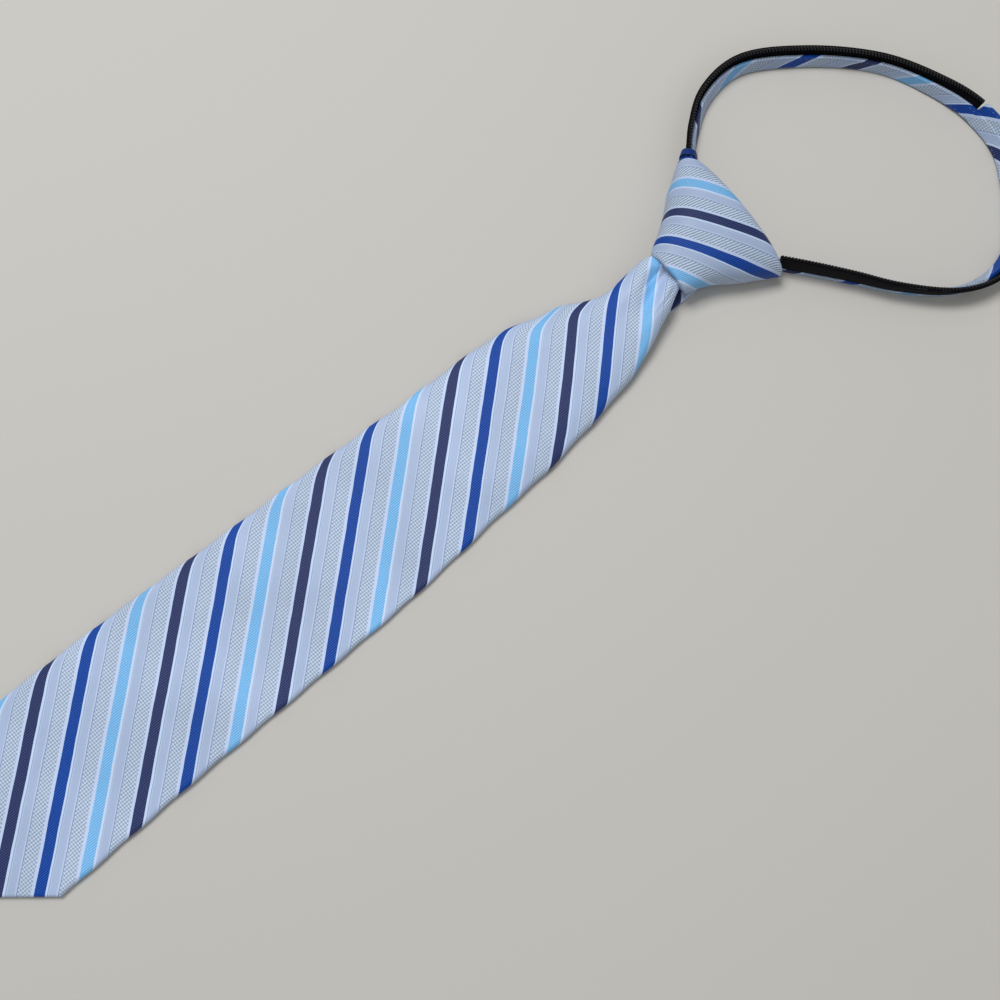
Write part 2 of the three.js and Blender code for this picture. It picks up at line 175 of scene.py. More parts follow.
def feed(tree, sockets, values):
    """Gives sockets, by name or number, the outputs or the plain values that they take."""
    for place, value in values.items():
        if isinstance(value, bpy.types.NodeSocket):
            tree.links.new(value, sockets[place])
        else:
            sockets[place].default_value = value


def put(tree, kind, inputs=(), **settings):
    node = tree.nodes.new(kind)
    for name, value in settings.items():
        setattr(node, name, value)
    feed(tree, node.inputs, dict(inputs))
    return node


def sum_up(tree, operation, first, second=0.0, third=0.0):
    numbers = {0: first, 1: second, 2: third}
    return put(tree, "ShaderNodeMath", numbers, operation=operation).outputs[0]


def blend_colours(tree, share, first, second, how="MIX"):
    colours = {0: share, 6: first, 7: second}
    return put(tree, "ShaderNodeMix", colours, data_type="RGBA", blend_type=how).outputs[2]


def new_group(name, inputs, outputs):
    tree = bpy.data.node_groups.new(name, "ShaderNodeTree")
    for label, kind, value in inputs:
        socket = tree.interface.new_socket(name=label, in_out="INPUT", socket_type=kind)
        if value is not None:
            socket.default_value = value
    for label, kind in outputs:
        tree.interface.new_socket(name=label, in_out="OUTPUT", socket_type=kind)
    given = tree.nodes.new("NodeGroupInput").outputs
    result = tree.nodes.new("NodeGroupOutput").inputs
    return tree, given, result


def band_ramp(tree, place, colour_of):
    """The bands of one repeat as hard-edged steps of a colour ramp."""
    ramp = put(tree, "ShaderNodeValToRGB", {0: place})
    ramp.color_ramp.interpolation = "CONSTANT"
    steps = ramp.color_ramp.elements
    steps.remove(steps[1])
    at = 0.0
    for band in stripe_bands:
        step = steps[0] if at == 0 else steps.new(at / stripe_repeat)
        step.color = colour_of(band)
        at += band[1]
    return ramp.outputs[0]


def ribs(tree, across, along, turn_across, turn_along, pitch, phase=0.0):
    """Diagonal ribs from 0 to 1, with the given pitch in millimetres."""
    slant = sum_up(tree, "MULTIPLY", across, turn_across / pitch)
    slant = sum_up(tree, "MULTIPLY_ADD", along, turn_along / pitch, slant)
    slant = sum_up(tree, "ADD", slant, phase)
    wave = sum_up(tree, "SINE", sum_up(tree, "MULTIPLY", slant, math.tau))
    return sum_up(tree, "MULTIPLY_ADD", wave, 0.5, 0.5)


twill_pitch, eye_pitch, crossing_pitch = 0.80, 1.15, 1.02
rib_way, crossing_way = (-0.73, 0.68), (0.66, 0.75)


def striped_weave():
    tree, given, result = new_group(
        "striped weave",
        [("Cloth", "NodeSocketVector", None), ("Rib contrast", "NodeSocketFloat", 1.0),
         ("Crossed ribs", "NodeSocketFloat", 0.5), ("Shade", "NodeSocketFloat", 1.0)],
        [("Color", "NodeSocketColor"), ("Height", "NodeSocketFloat"), ("Roughness", "NodeSocketFloat")],
    )
    cloth = given["Cloth"]
    drift = put(tree, "ShaderNodeTexNoise", {"Vector": cloth, "Scale": 0.09, "Detail": 2.0})
    drift = sum_up(tree, "MULTIPLY_ADD", drift.outputs[0], 0.5, -0.25)
    parts = put(tree, "ShaderNodeSeparateXYZ", {0: cloth}).outputs
    across = sum_up(tree, "ADD", parts[0], drift)
    along = parts[1]
    place = sum_up(tree, "SUBTRACT", across, first_stripe_at)
    place = sum_up(tree, "FRACT", sum_up(tree, "DIVIDE", place, stripe_repeat))
    low = band_ramp(tree, place, lambda band: paint(*band[2]))
    high = band_ramp(tree, place, lambda band: paint(*band[3]))
    masks = band_ramp(tree, place, lambda band: (*weave_masks[band[4]], 1.0))
    twill, eye, satin = put(tree, "ShaderNodeSeparateColor", {0: masks}).outputs

    thread = put(tree, "ShaderNodeTexNoise", {"Vector": cloth, "Scale": 2.6, "Detail": 3.0})
    thread = sum_up(tree, "MULTIPLY_ADD", thread.outputs[0], 0.5, -0.25)
    twill_rib = ribs(tree, across, along, *rib_way, twill_pitch, thread)
    eye_rib = ribs(tree, across, along, *rib_way, eye_pitch, thread)
    cross_rib = ribs(tree, across, along, *crossing_way, crossing_pitch, thread)
    crossing = sum_up(tree, "SUBTRACT", cross_rib, eye_rib)
    eye_rib = sum_up(tree, "MULTIPLY_ADD", crossing, given["Crossed ribs"], eye_rib)
    eye_rib = sum_up(tree, "SMOOTH_MIN", eye_rib, 1.0, 0.1)
    fine = put(tree, "ShaderNodeVectorMath", {0: cloth, 1: (5.0, 0.7, 1.0)}, operation="MULTIPLY")
    yarn = put(tree, "ShaderNodeTexNoise", {"Vector": fine.outputs[0], "Scale": 1.0, "Detail": 3.0})
    yarn = yarn.outputs[0]

    twill_part = sum_up(tree, "MULTIPLY", twill_rib, twill)
    eye_part = sum_up(tree, "MULTIPLY", eye_rib, eye)
    flat_share = sum_up(tree, "SUBTRACT", 1.0, sum_up(tree, "ADD", twill, eye))
    yarn_part = sum_up(tree, "MULTIPLY", yarn, flat_share)
    height = sum_up(tree, "ADD", sum_up(tree, "ADD", twill_part, eye_part), yarn_part)
    centred = sum_up(tree, "SUBTRACT", height, 0.5)
    share = sum_up(tree, "MULTIPLY_ADD", centred, given["Rib contrast"], 0.5)
    share = put(tree, "ShaderNodeClamp", {0: share}).outputs[0]
    colour = blend_colours(tree, share, low, high)
    # Slow random patches of tone times the Shade input, which darkens the whole colour: on the knot and
    # the neck band this is painted shade.
    patch_and_shade = put(tree, "ShaderNodeTexNoise", {"Vector": cloth, "Scale": 0.035, "Detail": 2.0})
    patch_and_shade = put(tree, "ShaderNodeMapRange", {0: patch_and_shade.outputs[0], 1: 0.3, 2: 0.7, 3: 0.93, 4: 1.05})
    patch_and_shade = sum_up(tree, "MULTIPLY", patch_and_shade.outputs[0], given["Shade"])
    grey = put(tree, "ShaderNodeCombineColor", {i: patch_and_shade for i in range(3)})
    colour = blend_colours(tree, 1.0, colour, grey.outputs[0], "MULTIPLY")
    relief = sum_up(tree, "MULTIPLY_ADD", satin, -0.25, height)
    rough = sum_up(tree, "MULTIPLY_ADD", satin, -0.12, 0.50)
    rough = sum_up(tree, "MULTIPLY_ADD", eye, 0.10, rough)
    feed(tree, result, {"Color": colour, "Height": relief, "Roughness": rough})
    return tree


silk_weave = striped_weave()


def new_material(name):
    material = bpy.data.materials.new(name)
    material.use_nodes = True
    return material, material.node_tree, material.node_tree.nodes["Principled BSDF"]


def silk(name, contrast=1.0, crossed=0.5, relief=0.00010, shade=1.0):
    """Striped silk on a piece whose cloth map gives millimetres across and along the stripes."""
    material, tree, shader = new_material(name)
    cloth = put(tree, "ShaderNodeUVMap", uv_map="cloth").outputs[0]
    weave = put(tree, "ShaderNodeGroup", node_tree=silk_weave)
    feed(tree, weave.inputs, {
        "Cloth": cloth, "Rib contrast": contrast, "Crossed ribs": crossed, "Shade": shade})
    woven = weave.outputs
    bump = put(tree, "ShaderNodeBump", {"Strength": 0.8, "Distance": relief, "Height": woven["Height"]})
    feed(tree, shader.inputs, {
        "Base Color": woven["Color"], "Roughness": woven["Roughness"], "Normal": bump.outputs[0],
        "Sheen Weight": 0.04, "Sheen Roughness": 0.35, "Specular IOR Level": 0.20})
    return material


def smooth(value):
    share = np.clip(value, 0.0, 1.0)
    return share * share * (3 - 2 * share)


def read(table, name, at):
    """One column of a table of rows, read at a place in its first column along a smooth curve."""
    names, rows = table
    places = [row[0] for row in rows]
    values = [row[names.index(name)] for row in rows]
    last = len(rows) - 1
    if at <= places[0]:
        return values[0]
    if at >= places[last]:
        return values[last]
    to = next(i for i, place in enumerate(places) if place > at)
    a, b = to - 1, to
    before, after = max(a - 1, 0), min(b + 1, last)
    width = places[b] - places[a]
    slope_a = (values[b] - values[before]) / (places[b] - places[before]) * width
    slope_b = (values[after] - values[a]) / (places[after] - places[a]) * width
    t = (at - places[a]) / width
    rest = 1 - t
    curve = values[a] * rest * rest * (1 + 2 * t) + values[b] * t * t * (3 - 2 * t)
    return curve + slope_a * t * rest * rest - slope_b * t * t * rest


def skin(name, rings, cloth, material):
    """A closed skin over rings of equal count, with its cloth map; the map has one column more
    than the ring has points, so that its seam can be cut."""
    rings = np.asarray(rings, float)
    cloth = np.asarray(cloth, float)
    rows, count = rings.shape[:2]
    points = np.vstack([rings.reshape(-1, 3), rings[0].mean(axis=0), rings[-1].mean(axis=0)])
    faces = []
    marks = []
    for row in range(rows - 1):
        for step in range(count):
            a = row * count + step
            b = row * count + (step + 1) % count
            faces.append([a, b, b + count, a + count])
            marks.append([cloth[row, step], cloth[row, step + 1],
                          cloth[row + 1, step + 1], cloth[row + 1, step]])
    for row, pole in ((0, rows * count), (rows - 1, rows * count + 1)):
        middle = cloth[row].mean(axis=0)
        for step in range(count):
            a = row * count + step
            b = row * count + (step + 1) % count
            face = [pole, b, a] if row == 0 else [pole, a, b]
            mark = [middle, cloth[row, step + 1], cloth[row, step]]
            faces.append(face)
            marks.append(mark if row == 0 else [mark[0], mark[2], mark[1]])
    inside = 0.0
    for face in faces:
        first = points[face[0]]
        for second, third in zip(face[1:-1], face[2:]):
            inside += first.dot(np.cross(points[second], points[third]))
    if inside < 0:
        faces = [face[::-1] for face in faces]
        marks = [mark[::-1] for mark in marks]
    mesh = bpy.data.meshes.new(name)
    mesh.from_pydata(in_frame(points).tolist(), [], faces)
    layer = mesh.uv_layers.new(name="cloth")
    layer.data.foreach_set("uv", np.array([pair for mark in marks for pair in mark]).ravel())
    mesh.shade_smooth()
    if material:
        mesh.materials.append(material)
    return add_object(name, mesh)


blade_table = (("along", "width", "shift", "plump", "rise"), [
    (0.000, 0.236, 0.016, 1.00, 1.00),
    (0.012, 0.276, 0.020, 0.98, 0.96),
    (0.030, 0.320, 0.040, 0.88, 0.90),
    (0.054, 0.354, 0.066, 0.74, 0.84),
    (0.078, 0.404, 0.088, 0.58, 0.80),
    (0.099, 0.474, 0.084, 0.42, 0.76),
    (0.125, 0.569, 0.067, 0.30, 0.72),
    (0.160, 0.645, 0.057, 0.20, 0.69),
    (0.205, 0.730, 0.042, 0.12, 0.67),
    (0.270, 0.789, 0.047, 0.06, 0.64),
    (0.345, 0.816, 0.048, 0.03, 0.40),
    (0.420, 0.862, 0.049, 0.00, 0.10),
    (0.500, 0.898, 0.049, 0.00, 0.00),
    (0.640, 0.930, 0.036, 0.00, 0.00),
    (0.800, 0.966, 0.016, 0.00, 0.00),
    (1.000, 1.000, 0.012, 0.00, 0.00),
])

# Folds below the knot: from and to along the blade, where across the half width each starts and
# ends, how far it spreads, and its height as a share of the neck's thickness.
blade_folds = [
    (-0.010, 0.085, 0.05, 0.22, 0.26, -0.34),
    (0.000, 0.110, 0.52, 0.62, 0.24, 0.16),
    (0.000, 0.120, -0.46, -0.50, 0.26, 0.12),
    (0.060, 0.180, -0.94, -0.70, 0.16, -0.10),
    (0.002, 0.060, -0.16, -0.26, 0.07, -0.06),
    (0.004, 0.075, 0.84, 0.50, 0.07, -0.05),
    (-0.030, 0.030, 0.30, 0.66, 0.22, -0.20),
    (0.012, 0.042, -0.30, -0.18, 0.20, -0.17),
]
seam_depth = 0.7
seam_spread = 1.2
gathered_until = 0.099


def fold_height(share, across):
    height = np.zeros_like(across)
    for start, end, across_start, across_end, spread, rise in blade_folds:
        run = (share - start) / (end - start)
        if not 0 < run < 1:
            continue
        away = (across - (across_start + (across_end - across_start) * run)) / spread
        fade = smooth(min(run * 6, (1 - run) * 1.6, 1))
        height += rise * neck_thickness * fade * np.exp(-away * away)
    return height


def blade_half(share):
    free = read(blade_table, "width", share) * blade_width / 2
    gathered = read(blade_table, "width", 0) * blade_width / 2
    return free + (neck_width / 2 - gathered) * (1 - smooth(share / gathered_until))


def lie(x, y):
    """The slight waves of the cloth where it lies, in millimetres."""
    long_wave = np.sin(y / 17.0 + x / 23.0) * np.sin(y / 41.0 - x / 15.0 + 0.8)
    short_wave = np.sin(y / 9.0 - x / 7.0) * np.sin(y / 13.0 + 1.1)
    return 0.30 * long_wave + 0.10 * short_wave


top_steps, under_steps = 44, 40
top_across = np.sin(np.linspace(-math.pi / 2, math.pi / 2, 2 * top_steps + 1))
under_share = np.linspace(1, -1, 2 * under_steps + 1)[1:-1]
under_across = np.sign(under_share) * (0.5 - 0.5 * np.cos(math.pi * np.abs(under_share)))


def blade_ring(share, half, y, grow=0.0):
    """One section of the blade: over the top from left to right and back underneath."""
    plump = read(blade_table, "plump", share)
    thickness = blade_thickness + (neck_thickness - blade_thickness) * plump + 2 * grow
    half = half + grow
    lift = max(read(blade_table, "rise", share), 0) * neck_underside
    middle = read(blade_table, "shift", share) * blade_width
    across = np.concatenate([top_across, under_across])
    over = np.arange(len(across)) < len(top_across)
    x = half * across
    radius = min(half, thickness / 2)
    past = np.maximum(np.abs(x) - (half - radius), 0) / radius
    rounding = thickness / 2 * np.sqrt(np.maximum(1 - past * past, 0))
    droop = 0 if grow > 0 else lift * (1 - plump) * across ** 4
    level = lift - grow + thickness / 2 - droop
    top = level + rounding
    under = level - rounding
    if grow == 0:
        soft = rounding * 2 / thickness
        top = top + fold_height(share, across) * soft + (1 - plump) * lie(x, y) * soft
        seam = seam_depth * np.exp(-((x / seam_spread) ** 2)) * smooth((share - 0.1) * 8)
        under = under + np.where(half > seam_spread * 3, seam, 0)
    return np.stack([middle + x, np.full_like(x, y), np.where(over, top, under)], axis=1)


# The cloth map follows the cloth round the rolled edges to the seam on the back. Near the knot the
# pattern sits a little further over, and at the left edge it is drawn along the edge in a pleat.
stripe_across, stripe_along = 0.749, 0.6626
shift_at_knot, shift_reach = 3.1, 80.0
edge_pull, edge_spread = 2.2, 3.2
pleat_pull, pleat_spread, pleat_y, pleat_length = 8.0, 5.5, -48.0, 16.0


def arc_from(points, start):
    """Way along a closed ring from one of its points, all round and back to that point."""
    turned = np.roll(points, -start, axis=0)
    steps = np.linalg.norm(np.diff(np.vstack([turned, turned[:1]]), axis=0), axis=1)
    way = np.concatenate([[0.0], np.cumsum(steps)])
    return way


def blade_cloth(ring):
    """Millimetres across and along the stripes at each point of a ring, from the seam round."""
    start = 2 * top_steps + under_steps
    way = arc_from(ring, start)
    crest = way[(top_steps - start) % len(ring)]
    x = ring[top_steps, 0] + way - crest
    y = np.append(np.roll(ring[:, 1], -start), ring[start % len(ring), 1])
    near = smooth(1 + y / shift_reach)
    left_edge = way[(0 - start) % len(ring)]
    pull = edge_pull * np.exp(-(((way - left_edge) / edge_spread) ** 2))
    pleat = pleat_pull * np.exp(-(((way - left_edge) / pleat_spread) ** 2))
    pleat = pleat * np.exp(-(((y - pleat_y) / pleat_length) ** 2))
    across = stripe_across * x + stripe_along * y + shift_at_knot * near - pull - pleat
    along = -stripe_along * x + stripe_across * y
    return start, np.stack([across, along], axis=1)


def blade_rings():
    rings = [blade_ring(0, neck_width / 2, mouth_depth)]
    for run in np.linspace(0, 1, 241):
        share = 0.35 * run + 0.65 * run * run
        y = -share * blade_length
        wobble = 0.22 * math.sin(y * stripe_along * math.tau * 3 / stripe_repeat) * smooth(share * 6)
        rings.append(blade_ring(share, blade_half(share) + wobble, y))
    corner = blade_width / 2
    point = corner / math.tan(point_half_angle)
    blunt = blade_thickness / 2 / corner
    for run in np.linspace(0, 1, 31)[1:]:
        left = 1 - (1 - blunt) * run
        rings.append(blade_ring(1, corner * left, -blade_length - point * (1 - left)))
    return rings


def cut_at_seam(rings, cloth_of):
    """Rings turned so that they start at the seam, with the cloth map of each."""
    turned, maps = [], []
    for ring in rings:
        start, cloth = cloth_of(ring)
        turned.append(np.roll(ring, -start, axis=0))
        maps.append(cloth)
    return turned, maps


blade = skin("blade_silk", *cut_at_seam(blade_rings(), blade_cloth), silk("blade silk"))
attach(blade, "root")
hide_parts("blade")

# Knot
# One wrap of the same silk drawn tight round a firm core. It is wide at the top, narrow at the
# mouth, and open below for the blade and behind for the tail and its slider.
knot_length = 41.0
knot_width = 66.0
knot_depth = 21.0
knot_top_slant, knot_top_bow = -0.05, 0.12
knot_underside = 4.2
lip = 1.0
front_drop = 2.0
tail_strip_width, tail_thickness, tail_chain_width = 6.6, 2.4, 4.6
tail_inside_knot = 12.0
slider_width, slider_length, slider_thickness = 8.5, 11.0, 2.6
knot_table = (("along", "left", "right", "crest", "under"), [
    (0.000, 0.410, 0.420, 0.60, 0.80),
    (0.015, 0.455, 0.472, 0.72, 0.45),
    (0.045, 0.480, 0.490, 0.82, 0.15),
    (0.100, 0.478, 0.476, 0.90, 0.00),
    (0.200, 0.449, 0.447, 0.96, 0.00),
    (0.320, 0.404, 0.409, 1.00, 0.00),
    (0.450, 0.356, 0.368, 1.00, 0.00),
    (0.580, 0.292, 0.317, 0.98, 0.10),
    (0.710, 0.232, 0.265, 0.94, 0.35),
    (0.830, 0.184, 0.231, 0.89, 0.65),
    (0.930, 0.147, 0.213, 0.84, 0.90),
    (1.000, 0.120, 0.203, 0.80, 1.00),
])
knot_waist = 0.36
side_power, top_power, under_power = 0.78, 0.82, 0.5
knot_points = 160
knot_turn = np.arange(knot_points) / knot_points * math.tau - math.pi / 2


def knot_ring(share, inset=0.0, grow=0.0):
    left = -read(knot_table, "left", share) * knot_width - grow + inset
    right = read(knot_table, "right", share) * knot_width + grow - inset
    crest = read(knot_table, "crest", share) * knot_depth + grow - inset
    under = max(read(knot_table, "under", share), 0) * knot_underside - grow + inset * 0.6
    waist = under + (crest - under) * knot_waist
    side = np.sign(np.cos(knot_turn)) * np.abs(np.cos(knot_turn)) ** side_power
    lift = np.abs(np.sin(knot_turn))
    x = (left + right) / 2 + (right - left) / 2 * side
    above = waist + (crest - waist) * lift ** top_power
    below = waist - (waist - under) * lift ** under_power
    y = (knot_length + knot_top_slant * x - knot_top_bow * x * x / knot_width) * (1 - share)
    if share == 0:
        y = y + grow
    if grow == 0:
        y = y - front_drop * smooth(0.5 + 1.2 * np.sin(knot_turn)) * smooth((share - 0.5) * 2)
    return np.stack([x, y, np.where(np.sin(knot_turn) > 0, above, below)], axis=1)


def knot_cloth(ring):
    """The stripes bend over the knot: they come down from the upper left flank to the lower right
    corner, steeper the further right, so the map bends with the way round and the way up."""
    way = arc_from(ring, 0)
    across = way[knot_points // 2] - way
    y = np.append(ring[:, 1], ring[0, 1])
    near = np.clip(across, -30, 36)
    stripe = 40.45 + 0.608 * across - 0.00254 * near ** 2 - 0.000038 * near ** 3
    stripe = stripe - 1.1765 * y + 0.0035 * y ** 2 + 0.00079 * near * y + 0.000101 * near ** 2 * y
    return 0, np.stack([stripe, -0.85 * across - 0.52 * y], axis=1)


def knot_rings():
    rings = []
    for turn in np.linspace(0, math.pi / 2, 7)[:-1]:
        rings.append(knot_ring(0.0, inset=1.2 * (1 - math.sin(turn))))
    for run in np.linspace(0, 1, 141):
        share = (0.6 * run + 0.4 * smooth(run)) * (1 - lip / knot_length)
        rings.append(knot_ring(max(share, 1e-6)))
    for turn in np.linspace(0, math.pi / 2, 8)[1:]:
        share = 1 - lip / knot_length * (1 - math.sin(turn))
        rings.append(knot_ring(share, inset=lip * 0.7 * (1 - math.cos(turn))))
    return rings


def settle(piece):
    """Keeps what the modifiers have made as a plain mesh."""
    graph = bpy.context.evaluated_depsgraph_get()
    mesh = bpy.data.meshes.new_from_object(piece.evaluated_get(graph))
    piece.modifiers.clear()
    piece.data = mesh
    return piece


def cut_away(piece, cutters):
    for cutter in cutters:
        cut = piece.modifiers.new("cut", "BOOLEAN")
        cut.operation = "DIFFERENCE"
        cut.solver = "EXACT"
        cut.object = cutter
    settle(piece)
    piece.data.set_sharp_from_angle(angle=math.radians(50))
    return piece


def box_outline(width, height, corner, steps, first_corner=0):
    """The outline of a box with rounded corners, from one of its corners on."""
    outline = []
    for quarter in range(first_corner, first_corner + 4):
        side = 1 if quarter % 4 in (0, 3) else -1
        rise = 1 if quarter % 4 in (0, 1) else -1
        for turn in np.linspace(0, math.pi / 2, steps + 1 if corner else 1):
            angle = turn + quarter * math.pi / 2
            outline.append((side * (width / 2 - corner) + corner * math.cos(angle),
                            rise * (height / 2 - corner) + corner * math.sin(angle)))
    return np.array(outline)


def bar_rings(width, height, x, z, start, end, corner=0.0, steps=4, slices=2):
    """Rings of a straight bar along the tie with rounded long edges."""
    section = box_outline(width, height, corner, steps)
    rings = []
    for y in np.linspace(start, end, slices):
        rings.append(np.stack([x + section[:, 0], np.full(len(section), y), z + section[:, 1]], axis=1))
    return rings


def plain_cloth(rings, start=0.0):
    """A cloth map that runs along a bar and round it."""
    maps = []
    for ring in rings:
        way = arc_from(ring, 0)
        maps.append(np.stack([way + start, np.append(ring[:, 1], ring[0, 1])], axis=1))
    return maps


def cutter(name, rings):
    return skin(name, rings, plain_cloth(rings), None)


pocket_reach = mouth_depth + clearance
pocket_rings = [
    blade_ring(-y / blade_length, blade_half(-y / blade_length), y, clearance)
    for y in (-6.0, -4.0, -2.0, -0.5)
]
pocket_rings += [blade_ring(0, neck_width / 2, y, clearance) for y in (0.5, pocket_reach)]
pocket = cutter("pocket", pocket_rings)
channel_width = 2 * tail_strip_width + tail_chain_width + 4 * clearance
channel_height = tail_thickness + clearance
channel = cutter("channel", bar_rings(
    channel_width, 2 * channel_height, tail_shift, 0.0, -2.0, tail_inside_knot + clearance
))
seat_height = slider_thickness + 2 * clearance
seat = cutter("seat", bar_rings(
    slider_width + 2 * clearance, 2 * seat_height, tail_shift, 0.0,
    tail_inside_knot - 2.0, tail_inside_knot + slider_length + 2 * clearance,
))
# shade=0.84 makes the knot's silk darker than the blade's: painted shade on the knot.
knot_silk = silk("knot silk", contrast=1.2, crossed=0.12, shade=0.84)
knot = skin("knot_silk", *cut_at_seam(knot_rings(), knot_cloth), knot_silk)
cut_away(knot, [pocket, channel, seat])
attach(knot, "root")
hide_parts("knot_wrap")

# Neck band
# A narrow strip of the silk folded over and stitched, which stands on its edge round the neck from
# one corner of the knot to the other, and widens to the full height at the back.
loop_reach, loop_spread = 112.0, 141.0
strip_height, back_height, strip_thickness = 6.2, 11.5, 1.8
back_length, widening = 53.0, 1.2
left_tape_length = 151.0
tape_height, tape_thickness = 7.9, 0.8
turned_step = 0.45
foot_width, foot_thickness = 3.2, 2.4
teeth_height, teeth_thickness = 2.0, 1.3
band_inside_knot = 17.0
loop_route = [
    (-0.201, 0.022, 14), (-0.255, 0.110, 20), (-0.308, 0.224, 22), (-0.321, 0.389, 16),
    (-0.226, 0.599, 12), (-0.066, 0.814, 6), (0.089, 0.909, 14), (0.233, 0.949, 28),
    (0.353, 0.934, 31), (0.464, 0.851, 29), (0.549, 0.770, 27), (0.601, 0.664, 26),
    (0.610, 0.553, 22), (0.574, 0.427, 14), (0.464, 0.279, 9), (0.357, 0.172, 4),
    (0.255, 0.066, 0),
]
loop_steps = 440


def loop_points():
    points = [np.array([x * loop_spread, knot_length + y * loop_reach, lean]) for x, y, lean in loop_route]
    for end, following, place in ((points[0], points[1], 0), (points[-1], points[-2], len(points) + 1)):
        way = (end - following) * (1, 1, 0)
        points.insert(place, end + way / np.linalg.norm(way) * band_inside_knot)
    return points


def spline_point(points, at):
    """A smooth curve through the points that keeps close to the line between them."""
    last = len(points) - 1
    place = at * last
    low = min(int(place), last - 1)
    t = place - low
    p1, p2 = points[low], points[low + 1]
    p0 = points[low - 1] if low > 0 else 2 * points[0] - points[1]
    p3 = points[low + 2] if low + 2 <= last else 2 * points[last] - points[last - 1]
    d0, d1, d2 = (max(np.linalg.norm(b - a), 1e-4) ** 0.5 for a, b in ((p0, p1), (p1, p2), (p2, p3)))
    leave = ((p1 - p0) / d0 - (p2 - p0) / (d0 + d1) + (p2 - p1) / d1) * d1
    arrive = ((p2 - p1) / d1 - (p3 - p1) / (d1 + d2) + (p3 - p2) / d2) * d1
    return p1 + leave * t + (3 * (p2 - p1) - 2 * leave - arrive) * t ** 2 + (
        2 * (p1 - p2) + leave + arrive) * t ** 3


def loop_stations():
    """Places along the lower inner edge of the band, each with its outward way, lean and run."""
    points = loop_points()
    route = np.array([spline_point(points, step / loop_steps) for step in range(loop_steps + 1)])
    way = np.gradient(route[:, :2], axis=0)
    way = way / np.linalg.norm(way, axis=1)[:, None]
    out = np.stack([-way[:, 1], way[:, 0]], axis=1)
    steps = np.linalg.norm(np.diff(route[:, :2], axis=0), axis=1)
    run = np.concatenate([[0.0], np.cumsum(steps)])
    return run, np.column_stack([route[:, :2], out, np.radians(route[:, 2])])


station_run, station_rows = loop_stations()
loop_run = station_run[-1]
left_tape_end = band_inside_knot + left_tape_length
right_tape_start = left_tape_end + back_length


def plain_share(run):
    """How far the plain stretch at the back of the neck has opened out, from 0 to 1."""
    opened = smooth((run - left_tape_end - clearance) / widening)
    closed = smooth((right_tape_start - clearance - run) / widening)
    return np.minimum(opened, closed)


def band_height(run):
    return strip_height + (back_height - strip_height) * plain_share(run)


def band_foot(run):
    return foot_width + (strip_thickness + 0.2 - foot_width) * plain_share(run)


def band_point(run, out, up):
    """A point of the loop: out from the inner face of the band and up from its lower edge."""
    x, y, out_x, out_y, lean = (np.interp(run, station_run, column) for column in station_rows.T)
    sine, cosine = np.sin(lean), np.cos(lean)
    away = out * cosine + up * sine
    height = up * cosine - out * sine + np.maximum(band_foot(run) * sine, 0)
    return np.stack([x + out_x * away, y + out_y * away, height + 0 * away], axis=-1)


def rounded(corners, steps=4):
    """A closed outline of out and up through corners, each given with its own rounding."""
    section = []
    for number, (out, up, radius) in enumerate(corners):
        here = np.array((out, up))
        before = np.array(corners[number - 1][:2]) - here
        after = np.array(corners[(number + 1) % len(corners)][:2]) - here
        far_before, far_after = np.linalg.norm(before), np.linalg.norm(after)
        radius = min(radius, 0.45 * far_before, 0.45 * far_after)
        start = here + before / far_before * radius
        end = here + after / far_after * radius
        for t in np.linspace(0, 1, steps + 1):
            section.append((1 - t) ** 2 * start + 2 * t * (1 - t) * here + t * t * end)
    return np.array(section)


def band_section(run):
    """The folded strip from the top of its foot on: up the outer face, over the upper fold, down
    the inner face with the step of the turned edge, and out along the foot under the tape."""
    plain = plain_share(run)
    high = band_height(run)
    foot = band_foot(run)
    step_at = strip_height - 0.9 + 0.9 * plain
    step = turned_step * plain
    return rounded([
        (strip_thickness, foot_thickness, 0.2), (strip_thickness, high, 0.7), (step, high, 0.7),
        (step, step_at + 0.25, 0.1), (0.0, step_at - 0.15, 0.2), (0.0, 0.0, 0.6),
        (foot, 0.0, 0.5), (foot, foot_thickness, 0.7),
    ])


def strip_section(thickness, low, high, corner, start_out=0.0):
    """Out and up of a folded strip, round at both folds, from the middle of its inner face on."""
    middle = (start_out + thickness / 2, (low + high) / 2)
    outline = box_outline(thickness, high - low, corner, 4, first_corner=2) + middle
    return np.vstack([(start_out, middle[1]), outline])


def strip_along(name, start, end, section_at, material, step=1.0, cloth_of=None):
    rings, maps = [], []
    for run in np.linspace(start, end, max(int((end - start) / step), 2)):
        section = section_at(run)
        ring = band_point(run, section[:, 0], section[:, 1])
        rings.append(ring)
        way = arc_from(ring, 0)
        maps.append(cloth_of(run, way) if cloth_of else np.stack([way, np.full_like(way, run)], axis=1))
    return skin(name, rings, maps, material)


# Where along the band the stripes cross its lower inner edge, as run past the knot's corner and
# millimetres across the stripes.
band_stripes = [
    (-14.0, 29.6), (43.0, 0.0), (72.0, -15.2), (99.5, -30.5), (122.5, -46.1), (147.0, -61.2),
    (313.0, -164.0),
]
inner_bottom = 27
bias_across, bias_along = 0.8, 0.59


def band_cloth(run, way):
    """The strip is cut on the bias, so that its stripes cross it at a slant."""
    up = way[inner_bottom] - way
    past, place = zip(*band_stripes)
    across = np.interp(run - band_inside_knot, past, place) + bias_across * (up - 3.0) - 2.5
    return np.stack([across, bias_across * run + bias_along * up], axis=1)


knot_room = cutter("knot room", [knot_ring(0.0, grow=clearance)] + [
    knot_ring(share, grow=clearance) for share in np.linspace(0.002, 1.0, 60)
])
